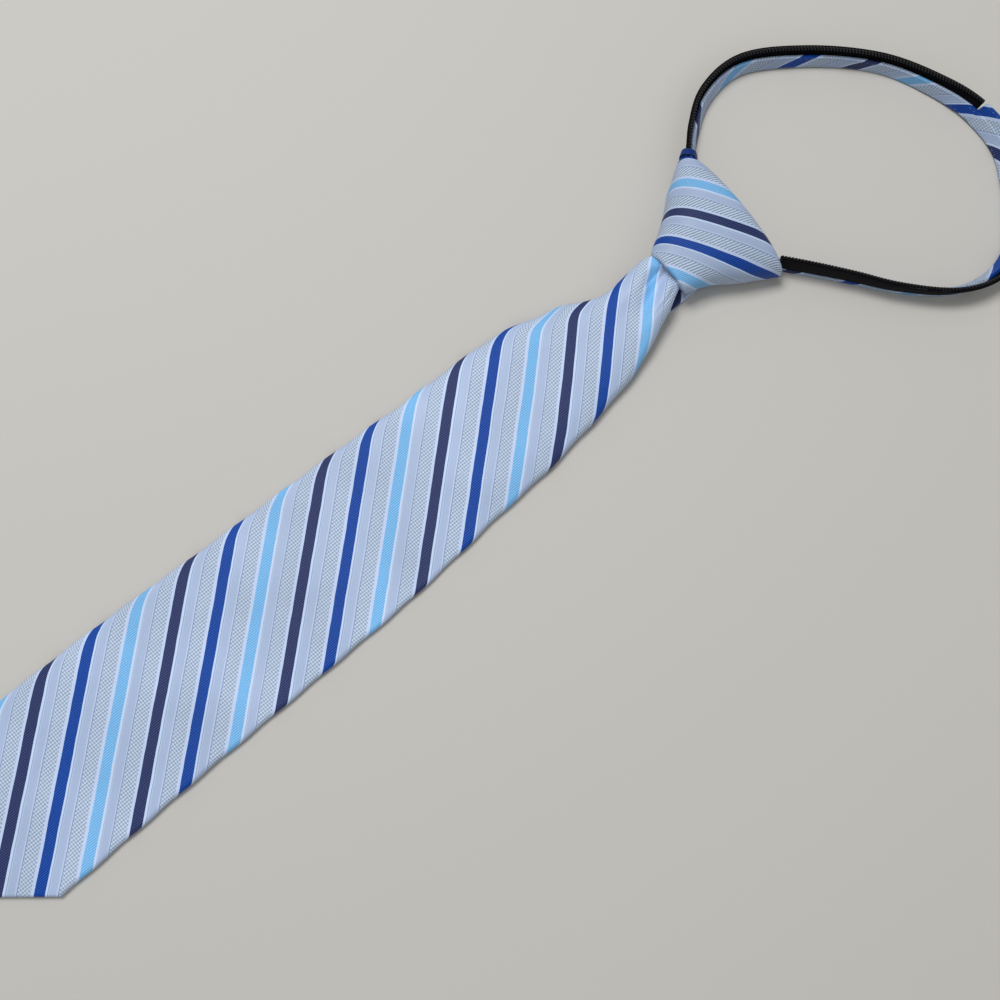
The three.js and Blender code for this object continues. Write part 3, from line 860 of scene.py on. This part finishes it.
# shade=0.82 makes the band's silk darker than the blade's: painted shade on the band's steep faces.
band = strip_along(
    "neck_band_silk", 0.5, loop_run - 0.5, band_section, silk("band silk", shade=0.82), cloth_of=band_cloth
)
cut_away(band, [knot_room])
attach(band, "root")
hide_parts("neck_band")

# Zipper tapes
# Woven black tape of the zipper, sewn to the outer face of the neck band on each side, so that its
# upper edge with the coil stands above the silk.
tape_inner = strip_thickness + clearance
tape_top = back_height - 0.9
warp_pitch, weft_pitch = 0.62, 0.45


def woven_tape():
    """Black ribbed tape, worn a little grey on its ribs."""
    material, tree, shader = new_material("zipper tape")
    cloth = put(tree, "ShaderNodeUVMap", uv_map="cloth").outputs[0]
    parts = put(tree, "ShaderNodeSeparateXYZ", {0: cloth}).outputs
    warp = ribs(tree, parts[0], parts[1], 1.0, 0.0, warp_pitch)
    weft = ribs(tree, parts[0], parts[1], 0.0, 1.0, weft_pitch)
    weave = sum_up(tree, "MULTIPLY_ADD", weft, 0.5, sum_up(tree, "MULTIPLY", warp, 0.5))
    dust = put(tree, "ShaderNodeTexNoise", {"Vector": cloth, "Scale": 0.4, "Detail": 4.0}).outputs[0]
    share = sum_up(tree, "MULTIPLY", weave, dust)
    colour = blend_colours(tree, share, paint(3, 3, 5), paint(20, 20, 26))
    bump = put(tree, "ShaderNodeBump", {"Strength": 0.7, "Distance": 0.00012, "Height": weave})
    feed(tree, shader.inputs, {
        "Base Color": colour, "Normal": bump.outputs[0], "Roughness": 0.85, "Specular IOR Level": 0.14})
    return material


tape_cloth = woven_tape()


def zipper_tape(name, node, start, end):
    tape = strip_along(
        name, start, end,
        lambda run: strip_section(tape_thickness, tape_top - tape_height, tape_top, 0.35, tape_inner),
        tape_cloth,
    )
    cut_away(tape, [knot_room])
    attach(tape, "root")
    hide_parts(node)
    return tape


zipper_tape("tape_left", "zipper_tape_left", 0.5, left_tape_end)
zipper_tape("tape_right", "zipper_tape_right", right_tape_start, loop_run - 0.5)

# Zipper coils
# Each half of the zipper is a nylon coil of flattened turns sewn along the inner side of the
# tape's upper edge.
coil_pitch = 1.3
coil_thread = 0.34


def geometry_tree(name, inputs):
    tree = bpy.data.node_groups.new(name, "GeometryNodeTree")
    tree.interface.new_socket(name="Geometry", in_out="INPUT", socket_type="NodeSocketGeometry")
    for label, kind in inputs:
        tree.interface.new_socket(name=label, in_out="INPUT", socket_type=kind)
    tree.interface.new_socket(name="Geometry", in_out="OUTPUT", socket_type="NodeSocketGeometry")
    given = tree.nodes.new("NodeGroupInput").outputs
    result = tree.nodes.new("NodeGroupOutput").inputs
    return tree, given, result


def coil_tree():
    """Turns of thread round a path: out across the tape by one attribute, up it by the other."""
    tree, given, result = geometry_tree("zipper coil", [
        ("Turns", "NodeSocketInt"), ("Half width", "NodeSocketFloat"), ("Half height", "NodeSocketFloat"),
        ("Thread radius", "NodeSocketFloat"), ("Material", "NodeSocketMaterial"),
    ])
    points_per_turn = 10
    path = put(tree, "GeometryNodeMeshToCurve", {0: given["Geometry"]})
    count = sum_up(tree, "MULTIPLY", given["Turns"], points_per_turn)
    even = put(tree, "GeometryNodeResampleCurve", {"Curve": path.outputs[0], "Count": count})
    index = tree.nodes.new("GeometryNodeInputIndex").outputs[0]
    angle = sum_up(tree, "MULTIPLY", index, math.tau / points_per_turn)
    offsets = []
    for name, wave, size in (("out", "COSINE", "Half width"), ("up", "SINE", "Half height")):
        way = put(tree, "GeometryNodeInputNamedAttribute", {"Name": name}, data_type="FLOAT_VECTOR")
        reach_by = sum_up(tree, "MULTIPLY", sum_up(tree, wave, angle), given[size])
        offsets.append(put(tree, "ShaderNodeVectorMath", {
            0: way.outputs[0], "Scale": reach_by}, operation="SCALE").outputs[0])
    offset = put(tree, "ShaderNodeVectorMath", {0: offsets[0], 1: offsets[1]}, operation="ADD")
    coil = put(tree, "GeometryNodeSetPosition", {0: even.outputs[0], "Offset": offset.outputs[0]})
    thread = put(tree, "GeometryNodeCurvePrimitiveCircle", {
        "Resolution": 6, "Radius": given["Thread radius"]})
    tube = put(tree, "GeometryNodeCurveToMesh", {
        0: coil.outputs[0], "Profile Curve": thread.outputs[0], "Fill Caps": True})
    plain = put(tree, "GeometryNodeRealizeInstances", {0: tube.outputs[0]})
    dressed = put(tree, "GeometryNodeSetMaterial", {0: plain.outputs[0], "Material": given["Material"]})
    tree.links.new(dressed.outputs[0], result[0])
    return tree


def path_object(name, points, out=None, up=None):
    """A line of points, with the ways out and up at each kept as attributes."""
    mesh = bpy.data.meshes.new(name)
    edges = [(i, i + 1) for i in range(len(points) - 1)]
    mesh.from_pydata(in_frame(points).tolist(), edges, [])
    for label, ways in (("out", out), ("up", up)):
        if ways is not None:
            layer = mesh.attributes.new(label, "FLOAT_VECTOR", "POINT")
            layer.data.foreach_set("vector", np.asarray(ways, float).ravel())
    return add_object(name, mesh)


def grow_on(path, tree, values):
    """Runs a geometry tree on the path with its inputs set, and keeps the result as a mesh."""
    modifier = path.modifiers.new("grown", "NODES")
    modifier.node_group = tree
    for socket in tree.interface.items_tree:
        if socket.in_out == "INPUT" and socket.name in values:
            modifier[socket.identifier] = values[socket.name]
    settle(path)
    path.data.shade_smooth()
    return path


def nylon(name, colour, roughness):
    """Smooth nylon or enamel, a little paler and duller where it is worn."""
    material, tree, shader = new_material(name)
    place = tree.nodes.new("ShaderNodeTexCoord").outputs["Object"]
    wear = put(tree, "ShaderNodeTexNoise", {"Vector": place, "Scale": 900.0, "Detail": 3.0}).outputs[0]
    worn = tuple(min(1.0, value * 1.8 + 0.003) for value in colour[:3]) + (1.0,)
    shade = blend_colours(tree, wear, colour, worn)
    rough = put(tree, "ShaderNodeMapRange", {0: wear, 3: roughness - 0.08, 4: roughness + 0.1})
    feed(tree, shader.inputs, {"Base Color": shade, "Roughness": rough.outputs[0]})
    return material


coil_nylon = nylon("coil nylon", paint(6, 6, 9), 0.50)
zipper_coil = coil_tree()


def coil_along(side, node, start, end):
    core = strip_along(
        "coil_core_" + side, start, end,
        lambda run: strip_section(teeth_thickness, back_height - teeth_height + 0.3, back_height - 0.7,
                                  0.3, tape_inner - teeth_thickness - 0.05),
        tape_cloth,
    )
    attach(core, "root")
    runs = np.linspace(start, end, max(int((end - start) / 1.5), 2))
    middle_out = tape_inner - clearance - teeth_thickness / 2
    middle_up = back_height - teeth_height / 2
    points = np.array([band_point(run, middle_out, middle_up) for run in runs])
    out = np.array([band_point(run, middle_out + 1, middle_up) for run in runs]) - points
    up = np.array([band_point(run, middle_out, middle_up + 1) for run in runs]) - points
    coil = grow_on(path_object("zipper_coil_" + side, points, out, up), zipper_coil, {
        "Turns": int((end - start) / coil_pitch),
        "Half width": (teeth_thickness / 2 - coil_thread) / 1000,
        "Half height": (teeth_height / 2 - coil_thread) / 1000,
        "Thread radius": coil_thread / 1000,
        "Material": coil_nylon,
    })
    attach(coil, "root")
    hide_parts(node)
    return coil


coil_along("left", "zipper_teeth_left", band_inside_knot + 1.5, left_tape_end)
coil_along("right", "zipper_teeth_right", right_tape_start, loop_run - 4.5)

# Stitches
# Rows of fine sewing thread: along both folded edges of the neck band, and in the same rows
# through the tapes.
stitch_pitch, stitch_length, stitch_thickness = 2.4, 1.5, 0.18


def stitch_tree():
    """Short rounded stitches laid along a path at an even pitch."""
    tree, given, result = geometry_tree("stitches", [
        ("Pitch", "NodeSocketFloat"), ("Stitch length", "NodeSocketFloat"),
        ("Thread thickness", "NodeSocketFloat"), ("Material", "NodeSocketMaterial"),
    ])
    path = put(tree, "GeometryNodeMeshToCurve", {0: given["Geometry"]})
    even = put(tree, "GeometryNodeResampleCurve", {
        "Curve": path.outputs[0], "Length": given["Pitch"]}, mode="LENGTH")
    way = tree.nodes.new("GeometryNodeInputTangent").outputs[0]
    turn_to = put(tree, "FunctionNodeAlignRotationToVector", {"Vector": way}, axis="Z")
    form = put(tree, "GeometryNodeMeshUVSphere", {"Segments": 6, "Rings": 5, "Radius": 0.5})
    size = put(tree, "ShaderNodeCombineXYZ", {
        0: given["Thread thickness"], 1: given["Thread thickness"], 2: given["Stitch length"]})
    laid = put(tree, "GeometryNodeInstanceOnPoints", {
        "Points": even.outputs[0], "Instance": form.outputs[0],
        "Rotation": turn_to.outputs[0], "Scale": size.outputs[0]})
    plain = put(tree, "GeometryNodeRealizeInstances", {0: laid.outputs[0]})
    dressed = put(tree, "GeometryNodeSetMaterial", {0: plain.outputs[0], "Material": given["Material"]})
    tree.links.new(dressed.outputs[0], result[0])
    return tree


stitches = stitch_tree()
pale_thread = nylon("pale thread", paint(104, 120, 158), 0.6)
black_thread = nylon("black thread", paint(24, 24, 30), 0.6)


def stitch_row(name, points, thread, pitch=stitch_pitch, length=stitch_length):
    row = grow_on(path_object(name, points), stitches, {
        "Pitch": pitch / 1000, "Stitch length": length / 1000,
        "Thread thickness": stitch_thickness / 1000, "Material": thread,
    })
    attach(row, "root")
    return row


def row_on_band(start, end, place_at):
    return np.array([band_point(run, *place_at(run)) for run in np.arange(start, end, 0.8)])


edge_in = 0.9
sunk = 0.04
low_row = row_on_band(
    band_inside_knot + 3, loop_run - band_inside_knot - 3, lambda run: (sunk, edge_in)
)
high_row = row_on_band(
    band_inside_knot + 3, loop_run - band_inside_knot - 3,
    lambda run: (turned_step * plain_share(run) + sunk, band_height(run) - edge_in),
)
band_rows = [
    stitch_row("band_stitches_low", low_row, pale_thread),
    stitch_row("band_stitches_high", high_row, pale_thread),
]
tape_face = tape_inner + tape_thickness - sunk
for label, start, end in (
    ("left", band_inside_knot + 4, left_tape_end - 1), ("right", right_tape_start + 1, loop_run - 13)
):
    tape_row = row_on_band(start, end, lambda run: (tape_face, strip_height - 1.0))
    stitch_row("tape_stitches_" + label, tape_row, black_thread)

# Tab
# A small cap of royal blue silk wrapped round the band where it leaves the upper left corner of
# the knot.
tab_width, tab_height, tab_length, tab_foot = 7.6, 13.4, 0.0, 0.1
tab_inside = 3.0
tab_power = 0.85
tab_edge = 0.5
tab_taper, tab_edge_taper = 0.08, 0.07
tab_stripe_at = 29.6


def tab_rings():
    start = band_inside_knot - tab_inside
    end = band_inside_knot + tab_length
    middle = (tape_inner + tape_thickness) / 2
    turn_steps = np.arange(64) / 64 * math.tau
    out = np.sign(np.cos(turn_steps)) * np.abs(np.cos(turn_steps)) ** tab_power
    up = np.sign(np.sin(turn_steps)) * np.abs(np.sin(turn_steps)) ** tab_power
    rings, maps = [], []
    rounding = end - tab_edge + tab_edge * np.sin(np.linspace(0.2, 1.57, 5))
    for run in np.concatenate([np.linspace(start, end - tab_edge, 14), rounding]):
        slim = 1 - tab_taper * smooth((run - start) / (end - start))
        near_end = max(run - (end - tab_edge), 0) / tab_edge
        slim = slim * (1 - tab_edge_taper * (1 - math.sqrt(max(1 - near_end ** 2, 0))))
        ring = band_point(run, middle + tab_width / 2 * slim * out,
                          tab_foot + tab_height / 2 + tab_height / 2 * slim * up)
        rings.append(ring)
        way = arc_from(ring, 0)
        maps.append(np.stack([tab_stripe_at - 0.35 * (run - start) + 0 * way, way], axis=1))
    return rings, maps


def band_room():
    section = np.array([
        (-clearance, -clearance - 2), (foot_width + clearance, -clearance - 2),
        (foot_width + clearance, back_height + clearance), (-clearance, back_height + clearance),
    ])
    return cutter("band room", [band_point(run, section[:, 0], section[:, 1])
                                for run in np.linspace(0.0, 30.0, 40)])


tab_silk = silk("tab silk", contrast=0.35, relief=0.00004, shade=0.42)
tab = skin("tab_silk", *tab_rings(), tab_silk)
passage = band_room()
cut_away(tab, [passage, knot_room])
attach(tab, "root")
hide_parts("knot_tab")

# Tail
# The closed stretch of the zipper behind the blade: two folded strips of the silk with the two
# coils of the chain running between them on their tapes.
tail_length = 98.0
tail_start = tail_inside_knot - tail_length
tail_side = (tail_chain_width + tail_strip_width) / 2 + clearance
tail_bias = (0.69, 0.72)
tail_silk = silk("tail silk")
for label, side in (("left", -1), ("right", 1)):
    rings = bar_rings(
        tail_strip_width, tail_thickness, tail_shift + side * tail_side, tail_thickness / 2,
        tail_start, tail_inside_knot, corner=0.9, steps=5, slices=70,
    )
    maps = []
    for ring in rings:
        way = arc_from(ring, 0)
        run = ring[0, 1]
        across = tail_bias[0] * side * way - tail_bias[1] * run + 9.0
        maps.append(np.stack([across, tail_bias[1] * way + tail_bias[0] * run], axis=1))
    strip = skin("tail_silk_" + label, rings, maps, tail_silk)
    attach(strip, "root")
    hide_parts("tail_strip_" + label)

tail_tape_rings = bar_rings(
    tail_chain_width, 0.6, tail_shift, tail_thickness / 2 - 0.4, tail_start, tail_inside_knot,
    corner=0.25, steps=3, slices=50,
)
tail_tape = skin("tail_tape", tail_tape_rings, plain_cloth(tail_tape_rings), tape_cloth)
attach(tail_tape, "root")
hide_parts("tail_zipper")
# The two coils of the chain mesh, so the second starts a quarter of a pitch further on.
chain_height = tail_thickness / 2 + 0.28
chain_offset, chain_half_width, chain_half_height, chain_thread = 0.62, 0.75, 0.30, 0.21
chain_points = 60
for label, side, ahead in (("left", -1, 0.0), ("right", 1, coil_pitch / 4)):
    ys = np.linspace(tail_start + 1.0 + ahead, tail_inside_knot - 0.5, chain_points)
    points = np.array([(tail_shift + side * chain_offset, y, chain_height) for y in ys])
    out = np.tile((1.0, 0.0, 0.0), (chain_points, 1))
    up = np.tile((0.0, 0.0, 1.0), (chain_points, 1))
    coil = grow_on(path_object("tail_coil_" + label, points, out, up), zipper_coil, {
        "Turns": int((ys[-1] - ys[0]) / coil_pitch),
        "Half width": chain_half_width / 1000,
        "Half height": chain_half_height / 1000,
        "Thread radius": chain_thread / 1000,
        "Material": coil_nylon,
    })
    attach(coil, "root")

# Slider
# The zipper's slider, up inside the back of the knot: two plates joined by a wedge at the nose,
# with a small pull lying on the upper plate.
slider_paint = nylon("slider enamel", paint(20, 20, 24), 0.3)
slider_foot = tail_inside_knot + clearance
plate = 0.75
outline = [(0.0, 0.30), (0.12, 0.40), (0.35, 0.44), (0.60, 0.50), (0.80, 0.50), (0.93, 0.42), (1.0, 0.25)]


def plate_rings(low, high, widen=1.0, first=0.0, last=1.0):
    rings = []
    for run in np.linspace(first, last, 22):
        half = np.interp(run, [row[0] for row in outline], [row[1] for row in outline])
        half = half * slider_width * widen
        y = slider_foot + run * slider_length
        soft = 0.2
        section = [(-half, low + soft), (-half + soft, low), (half - soft, low), (half, low + soft),
                   (half, high - soft), (half - soft, high), (-half + soft, high), (-half, high - soft)]
        rings.append(np.array([(tail_shift + x, y, z) for x, z in section]))
    return rings


low_plate = clearance
parts_of_slider = [
    plate_rings(low_plate, low_plate + plate),
    plate_rings(low_plate + slider_thickness - plate - 0.35, low_plate + slider_thickness - 0.35),
    plate_rings(low_plate + plate - 0.1, low_plate + slider_thickness - plate - 0.25, 0.36, 0.55, 0.97),
    plate_rings(low_plate + slider_thickness - 0.40, low_plate + slider_thickness, 0.45, 0.1, 0.75),
]
for number, rings in enumerate(parts_of_slider):
    part = skin("slider_part_%d" % number, rings, plain_cloth(rings), slider_paint)
    part.data.set_sharp_from_angle(angle=math.radians(40))
    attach(part, "root")
    if number == 0:
        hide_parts("zipper_slider")

# Slip stitches
# The thread that closes the two flaps down the back of the blade.
slip_ys = np.arange(-blade_length + 14.0, -46.0, 0.8)
slip_points = np.array([
    (read(blade_table, "shift", -y / blade_length) * blade_width, y,
     max(read(blade_table, "rise", -y / blade_length), 0) * neck_underside + 0.34)
    for y in slip_ys
])
stitch_row("slip_stitches", slip_points, pale_thread, pitch=7.0, length=4.2)

for spare in (pocket, channel, seat, knot_room, passage):
    bpy.data.objects.remove(spare)
